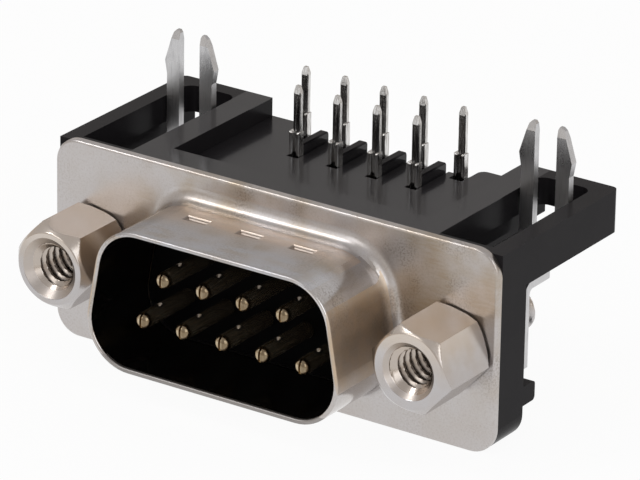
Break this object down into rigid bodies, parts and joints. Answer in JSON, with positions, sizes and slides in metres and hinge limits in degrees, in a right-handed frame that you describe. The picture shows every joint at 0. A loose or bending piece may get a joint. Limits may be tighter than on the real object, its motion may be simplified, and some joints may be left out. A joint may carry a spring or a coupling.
{
  "type": "right-angle d-sub plug connector",
  "caption": "Right-angle board plug with a drawn steel D shell, round pins in two rows, hex jack posts, a moulded bracket and barbed board locks.",
  "frame": {"origin": "centre of the D on the front plane of the metal flange", "axes": "+X along the flange, -Y out of the mating face, +Z towards the circuit board"},
  "size_m": [0.0308, 0.019, 0.0167],
  "materials": {
    "nickel_shell": "nickel plate over drawn steel, satin",
    "nickel_post": "nickel plate over machined steel",
    "lock_steel": "tin plate over stamped sheet, satin",
    "nut_brass": "nickel plate over turned brass",
    "contact_alloy": "gold flash on the pin, bright tin on the board tail",
    "bracket_plastic": "moulded glass-filled polyester, semi-gloss",
    "insulator_plastic": "moulded glass-filled polyester, matt"
  },
  "bodies": {
    "root": {"front_shell": "nickel_shell", "front_insulator": "insulator_plastic", "rear_insulator": "bracket_plastic", "bracket": "bracket_plastic", "contact_1": "contact_alloy", "contact_2": "contact_alloy", "contact_3": "contact_alloy", "contact_4": "contact_alloy", "contact_5": "contact_alloy", "contact_6": "contact_alloy", "contact_7": "contact_alloy", "contact_8": "contact_alloy", "contact_9": "contact_alloy", "screwlock_left": "nickel_post", "screwlock_right": "nickel_post", "clinch_nut_left": "nut_brass", "clinch_nut_right": "nut_brass", "board_lock_left": "lock_steel", "board_lock_right": "lock_steel"}
  },
  "joints": []
}
